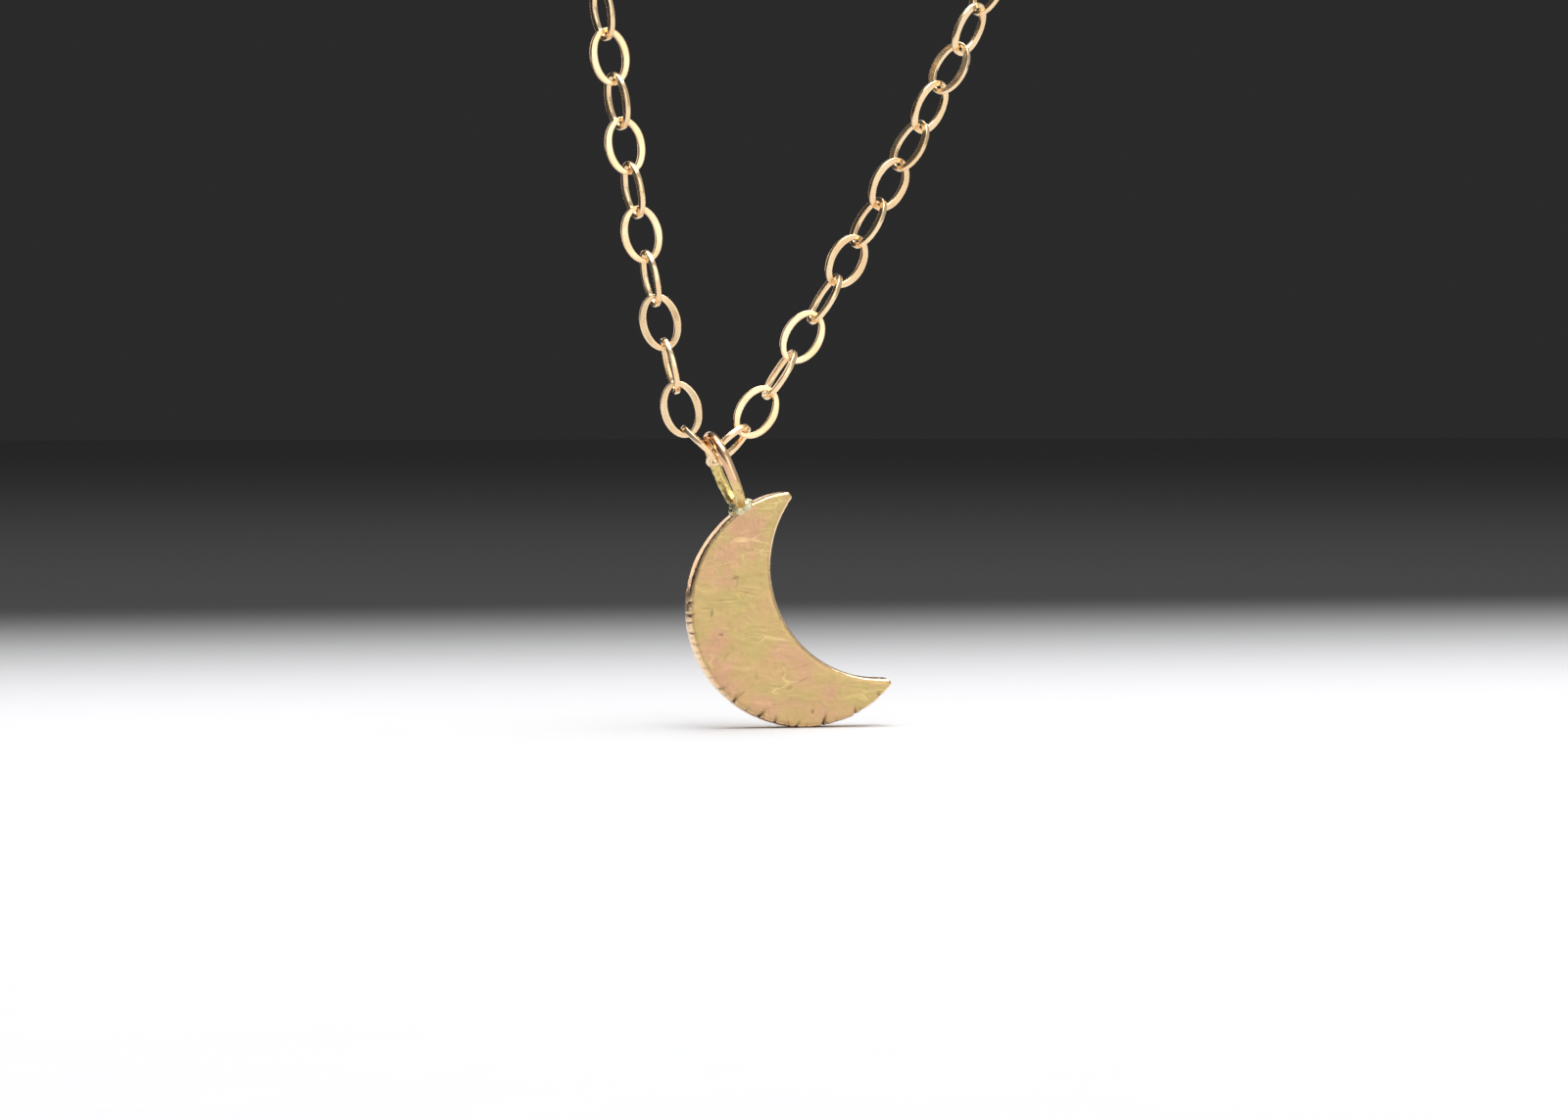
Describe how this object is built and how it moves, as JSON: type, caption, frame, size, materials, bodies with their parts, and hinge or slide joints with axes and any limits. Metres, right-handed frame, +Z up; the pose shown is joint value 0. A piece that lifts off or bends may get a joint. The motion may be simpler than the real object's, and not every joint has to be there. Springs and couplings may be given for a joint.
{
  "type": "crescent pendant necklace",
  "caption": "Thin crescent-shaped charm with a soldered wire bail on a fine flat-oval cable chain, worn round the neck and closed at the nape by a spring ring clasp.",
  "frame": {"origin": "centre of the neck opening, level with the chain behind the neck", "axes": "+X to the right seen from the front, +Y towards the back of the neck, +Z up; the pendant hangs towards -Z at the front, -Y"},
  "size_m": [0.0751, 0.0503, 0.1417],
  "materials": {
    "chain_gold": "bright gold-filled wire, flattened and polished",
    "crescent_gold": "hand-finished gold sheet, satin face with rose bloom and fine scratches",
    "bail_gold": "polished gold wire with a rough soldered back",
    "clasp_gold": "bright gold-filled tube and wire",
    "spring_steel": "fine spring wire"
  },
  "bodies": {
    "neck_chain": {"left_shoulder_chain": "chain_gold", "left_nape_chain": "chain_gold", "right_shoulder_chain": "chain_gold", "right_nape_chain": "chain_gold"},
    "right_chain_6": {"right_chain_6": "chain_gold"},
    "left_chain_6": {"left_chain_6": "chain_gold"},
    "right_chain_5": {"right_chain_5": "chain_gold"},
    "left_chain_5": {"left_chain_5": "chain_gold"},
    "right_chain_4": {"right_chain_4": "chain_gold"},
    "left_chain_4": {"left_chain_4": "chain_gold"},
    "right_chain_3": {"right_chain_3": "chain_gold"},
    "left_chain_3": {"left_chain_3": "chain_gold"},
    "right_chain_2": {"right_chain_2": "chain_gold"},
    "left_chain_2": {"left_chain_2": "chain_gold"},
    "right_chain_1": {"right_chain_1": "chain_gold"},
    "left_chain_1": {"left_chain_1": "chain_gold"},
    "right_link_13": {"right_link_13": "chain_gold"},
    "left_link_13": {"left_link_13": "chain_gold"},
    "right_link_12": {"right_link_12": "chain_gold"},
    "left_link_12": {"left_link_12": "chain_gold"},
    "right_link_11": {"right_link_11": "chain_gold"},
    "left_link_11": {"left_link_11": "chain_gold"},
    "right_link_10": {"right_link_10": "chain_gold"},
    "left_link_10": {"left_link_10": "chain_gold"},
    "right_link_09": {"right_link_09": "chain_gold"},
    "left_link_09": {"left_link_09": "chain_gold"},
    "right_link_08": {"right_link_08": "chain_gold"},
    "left_link_08": {"left_link_08": "chain_gold"},
    "right_link_07": {"right_link_07": "chain_gold"},
    "left_link_07": {"left_link_07": "chain_gold"},
    "right_link_06": {"right_link_06": "chain_gold"},
    "left_link_06": {"left_link_06": "chain_gold"},
    "right_link_05": {"right_link_05": "chain_gold"},
    "left_link_05": {"left_link_05": "chain_gold"},
    "right_link_04": {"right_link_04": "chain_gold"},
    "left_link_04": {"left_link_04": "chain_gold"},
    "right_link_03": {"right_link_03": "chain_gold"},
    "left_link_03": {"left_link_03": "chain_gold"},
    "right_link_02": {"right_link_02": "chain_gold"},
    "left_link_02": {"left_link_02": "chain_gold"},
    "right_link_01": {"right_link_01": "chain_gold"},
    "left_link_01": {"left_link_01": "chain_gold"},
    "pendant": {"crescent": "crescent_gold", "bail": "bail_gold"},
    "jump_ring": {"clasp_jump_ring": "clasp_gold"},
    "clasp": {"clasp_case": "clasp_gold", "clasp_eye": "clasp_gold", "clasp_spring": "spring_steel"},
    "bolt": {"clasp_bolt": "clasp_gold", "clasp_lever": "clasp_gold"},
    "closed_end_ring": {"end_ring": "clasp_gold"}
  },
  "joints": [
    {"name": "right_chain_6_bend", "type": "hinge", "parent": "neck_chain", "child": "right_chain_6", "pos_m": [0.02424, -0.01041, -0.03351], "axis": [0.9916, 0.0062, -0.1291], "range_deg": [-30, 30]},
    {"name": "left_chain_6_bend", "type": "hinge", "parent": "neck_chain", "child": "left_chain_6", "pos_m": [-0.0334, -0.01077, -0.026], "axis": [0.9916, 0.0062, -0.1291], "range_deg": [-30, 30]},
    {"name": "right_chain_5_bend", "type": "hinge", "parent": "right_chain_6", "child": "right_chain_5", "pos_m": [0.0195, -0.01041, -0.04626], "axis": [-0.9913, -0.007, 0.1313], "range_deg": [-30, 30]},
    {"name": "left_chain_5_bend", "type": "hinge", "parent": "left_chain_6", "child": "left_chain_5", "pos_m": [-0.03163, -0.01077, -0.03949], "axis": [-0.9913, -0.007, 0.1313], "range_deg": [-30, 30]},
    {"name": "right_chain_4_bend", "type": "hinge", "parent": "right_chain_5", "child": "right_chain_4", "pos_m": [0.0147, -0.01041, -0.05898], "axis": [0.991, 0.008, -0.1337], "range_deg": [-30, 30]},
    {"name": "left_chain_4_bend", "type": "hinge", "parent": "left_chain_5", "child": "left_chain_4", "pos_m": [-0.02985, -0.01077, -0.05297], "axis": [0.991, 0.008, -0.1337], "range_deg": [-30, 30]},
    {"name": "right_chain_3_bend", "type": "hinge", "parent": "right_chain_4", "child": "right_chain_3", "pos_m": [0.0098, -0.01041, -0.07167], "axis": [-0.9906, -0.0094, 0.1364], "range_deg": [-30, 30]},
    {"name": "left_chain_3_bend", "type": "hinge", "parent": "left_chain_4", "child": "left_chain_3", "pos_m": [-0.02807, -0.01077, -0.06645], "axis": [-0.9906, -0.0094, 0.1364], "range_deg": [-30, 30]},
    {"name": "right_chain_2_bend", "type": "hinge", "parent": "right_chain_3", "child": "right_chain_2", "pos_m": [0.00474, -0.01041, -0.08429], "axis": [0.9902, 0.0115, -0.139], "range_deg": [-30, 30]},
    {"name": "left_chain_2_bend", "type": "hinge", "parent": "left_chain_3", "child": "left_chain_2", "pos_m": [-0.02629, -0.01077, -0.07994], "axis": [0.9902, 0.0115, -0.139], "range_deg": [-30, 30]},
    {"name": "right_chain_1_bend", "type": "hinge", "parent": "right_chain_2", "child": "right_chain_1", "pos_m": [-0.00057, -0.01041, -0.09681], "axis": [-0.99, -0.0149, 0.1406], "range_deg": [-30, 30]},
    {"name": "left_chain_1_bend", "type": "hinge", "parent": "left_chain_2", "child": "left_chain_1", "pos_m": [-0.02447, -0.01077, -0.09342], "axis": [-0.99, -0.0149, 0.1406], "range_deg": [-30, 30]},
    {"name": "right_link_13_bend", "type": "hinge", "parent": "right_chain_1", "child": "right_link_13", "pos_m": [-0.00632, -0.01041, -0.10914], "axis": [0.9902, 0.022, -0.1376], "range_deg": [-30, 30]},
    {"name": "left_link_13_bend", "type": "hinge", "parent": "left_chain_1", "child": "left_link_13", "pos_m": [-0.02256, -0.01077, -0.10688], "axis": [0.9902, 0.022, -0.1376], "range_deg": [-30, 30]},
    {"name": "right_link_12_bend", "type": "hinge", "parent": "right_link_13", "child": "right_link_12", "pos_m": [-0.00708, -0.01041, -0.11066], "axis": [-0.9904, -0.0234, 0.1364], "range_deg": [-30, 30]},
    {"name": "left_link_12_bend", "type": "hinge", "parent": "left_link_13", "child": "left_link_12", "pos_m": [-0.0223, -0.01077, -0.10856], "axis": [-0.9904, -0.0234, 0.1364], "range_deg": [-30, 30]},
    {"name": "right_link_11_bend", "type": "hinge", "parent": "right_link_12", "child": "right_link_11", "pos_m": [-0.00785, -0.01041, -0.11217], "axis": [0.9905, 0.0251, -0.1349], "range_deg": [-30, 30]},
    {"name": "left_link_11_bend", "type": "hinge", "parent": "left_link_12", "child": "left_link_11", "pos_m": [-0.02204, -0.01077, -0.11024], "axis": [0.9905, 0.0251, -0.1349], "range_deg": [-30, 30]},
    {"name": "right_link_10_bend", "type": "hinge", "parent": "right_link_11", "child": "right_link_10", "pos_m": [-0.00863, -0.01041, -0.11368], "axis": [-0.9907, -0.0272, 0.133], "range_deg": [-30, 30]},
    {"name": "left_link_10_bend", "type": "hinge", "parent": "left_link_11", "child": "left_link_10", "pos_m": [-0.02176, -0.01077, -0.11192], "axis": [-0.9907, -0.0272, 0.133], "range_deg": [-30, 30]},
    {"name": "right_link_09_bend", "type": "hinge", "parent": "right_link_10", "child": "right_link_09", "pos_m": [-0.00943, -0.01041, -0.11518], "axis": [0.991, 0.0296, -0.1306], "range_deg": [-30, 30]},
    {"name": "left_link_09_bend", "type": "hinge", "parent": "left_link_10", "child": "left_link_09", "pos_m": [-0.02149, -0.01077, -0.1136], "axis": [0.991, 0.0296, -0.1306], "range_deg": [-30, 30]},
    {"name": "right_link_08_bend", "type": "hinge", "parent": "right_link_09", "child": "right_link_08", "pos_m": [-0.01024, -0.01041, -0.11668], "axis": [-0.9913, -0.0326, 0.1275], "range_deg": [-30, 30]},
    {"name": "left_link_08_bend", "type": "hinge", "parent": "left_link_09", "child": "left_link_08", "pos_m": [-0.02119, -0.01077, -0.11527], "axis": [-0.9913, -0.0326, 0.1275], "range_deg": [-30, 30]},
    {"name": "right_link_07_bend", "type": "hinge", "parent": "right_link_08", "child": "right_link_07", "pos_m": [-0.01106, -0.01041, -0.11817], "axis": [0.9917, 0.0363, -0.1235], "range_deg": [-30, 30]},
    {"name": "left_link_07_bend", "type": "hinge", "parent": "left_link_08", "child": "left_link_07", "pos_m": [-0.02089, -0.01077, -0.11694], "axis": [0.9917, 0.0363, -0.1235], "range_deg": [-30, 30]},
    {"name": "right_link_06_bend", "type": "hinge", "parent": "right_link_07", "child": "right_link_06", "pos_m": [-0.01189, -0.01041, -0.11965], "axis": [-0.9921, -0.0412, 0.1182], "range_deg": [-30, 30]},
    {"name": "left_link_06_bend", "type": "hinge", "parent": "left_link_07", "child": "left_link_06", "pos_m": [-0.02057, -0.01077, -0.11861], "axis": [-0.9921, -0.0412, 0.1182], "range_deg": [-30, 30]},
    {"name": "right_link_05_bend", "type": "hinge", "parent": "right_link_06", "child": "right_link_05", "pos_m": [-0.01275, -0.01041, -0.12112], "axis": [0.9927, 0.0477, -0.111], "range_deg": [-30, 30]},
    {"name": "left_link_05_bend", "type": "hinge", "parent": "left_link_06", "child": "left_link_05", "pos_m": [-0.02024, -0.01077, -0.12028], "axis": [0.9927, 0.0477, -0.111], "range_deg": [-30, 30]},
    {"name": "right_link_04_bend", "type": "hinge", "parent": "right_link_05", "child": "right_link_04", "pos_m": [-0.01362, -0.01041, -0.12258], "axis": [-0.9933, -0.0571, 0.1008], "range_deg": [-30, 30]},
    {"name": "left_link_04_bend", "type": "hinge", "parent": "left_link_05", "child": "left_link_04", "pos_m": [-0.01989, -0.01077, -0.12194], "axis": [-0.9933, -0.0571, 0.1008], "range_deg": [-30, 30]},
    {"name": "right_link_03_bend", "type": "hinge", "parent": "right_link_04", "child": "right_link_03", "pos_m": [-0.01451, -0.01041, -0.12403], "axis": [0.9938, 0.0715, -0.0853], "range_deg": [-30, 30]},
    {"name": "left_link_03_bend", "type": "hinge", "parent": "left_link_04", "child": "left_link_03", "pos_m": [-0.01951, -0.01077, -0.1236], "axis": [0.9938, 0.0715, -0.0853], "range_deg": [-30, 30]},
    {"name": "right_link_02_bend", "type": "hinge", "parent": "right_link_03", "child": "right_link_02", "pos_m": [-0.01541, -0.01041, -0.12547], "axis": [-0.9936, -0.097, 0.0582], "range_deg": [-30, 30]},
    {"name": "left_link_02_bend", "type": "hinge", "parent": "left_link_03", "child": "left_link_02", "pos_m": [-0.0191, -0.01077, -0.12525], "axis": [-0.9936, -0.097, 0.0582], "range_deg": [-30, 30]},
    {"name": "right_link_01_bend", "type": "hinge", "parent": "right_link_02", "child": "right_link_01", "pos_m": [-0.01634, -0.01041, -0.12689], "axis": [0.9882, 0.1532, 0], "range_deg": [-30, 30]},
    {"name": "left_link_01_bend", "type": "hinge", "parent": "left_link_02", "child": "left_link_01", "pos_m": [-0.01866, -0.01077, -0.12689], "axis": [0.9882, 0.1532, 0], "range_deg": [-30, 30]},
    {"name": "pendant_swing", "type": "hinge", "parent": "right_link_01", "child": "pendant", "pos_m": [-0.01725, -0.01059, -0.12824], "axis": [0.9245, 0, 0.3811], "range_deg": [-75, 75]},
    {"name": "jump_ring_roll", "type": "hinge", "parent": "neck_chain", "child": "jump_ring", "pos_m": [-0.00392, 0.03648, 0], "axis": [1, 0, 0], "range_deg": [-20, 20]},
    {"name": "clasp_roll", "type": "hinge", "parent": "neck_chain", "child": "clasp", "pos_m": [0.00065, 0.03648, 0], "axis": [1, 0, 0], "range_deg": [-20, 20]},
    {"name": "bolt_slide", "type": "hinge", "parent": "clasp", "child": "bolt", "pos_m": [0.00065, 0.03648, 0], "axis": [0, -1, 0], "range_deg": [0, 42], "stiffness_Nm_per_rad": 0.00001, "springref_deg": -2.86, "deforming": ["clasp_spring"]},
    {"name": "end_ring_roll", "type": "hinge", "parent": "neck_chain", "child": "closed_end_ring", "pos_m": [0.0035, 0.03648, 0], "axis": [1, 0, 0], "range_deg": [-20, 20]}
  ],
  "couplings": [
    {"joint": "left_chain_6_bend", "follows": "right_chain_6_bend", "ratio": 1},
    {"joint": "left_chain_5_bend", "follows": "right_chain_5_bend", "ratio": 1},
    {"joint": "left_chain_4_bend", "follows": "right_chain_4_bend", "ratio": 1},
    {"joint": "left_chain_3_bend", "follows": "right_chain_3_bend", "ratio": 1},
    {"joint": "left_chain_2_bend", "follows": "right_chain_2_bend", "ratio": 1},
    {"joint": "left_chain_1_bend", "follows": "right_chain_1_bend", "ratio": 1},
    {"joint": "left_link_13_bend", "follows": "right_link_13_bend", "ratio": 1},
    {"joint": "left_link_12_bend", "follows": "right_link_12_bend", "ratio": 1},
    {"joint": "left_link_11_bend", "follows": "right_link_11_bend", "ratio": 1},
    {"joint": "left_link_10_bend", "follows": "right_link_10_bend", "ratio": 1},
    {"joint": "left_link_09_bend", "follows": "right_link_09_bend", "ratio": 1},
    {"joint": "left_link_08_bend", "follows": "right_link_08_bend", "ratio": 1},
    {"joint": "left_link_07_bend", "follows": "right_link_07_bend", "ratio": 1},
    {"joint": "left_link_06_bend", "follows": "right_link_06_bend", "ratio": 1},
    {"joint": "left_link_05_bend", "follows": "right_link_05_bend", "ratio": 1},
    {"joint": "left_link_04_bend", "follows": "right_link_04_bend", "ratio": 1},
    {"joint": "left_link_03_bend", "follows": "right_link_03_bend", "ratio": 1},
    {"joint": "left_link_02_bend", "follows": "right_link_02_bend", "ratio": 1},
    {"joint": "left_link_01_bend", "follows": "right_link_01_bend", "ratio": 1}
  ]
}
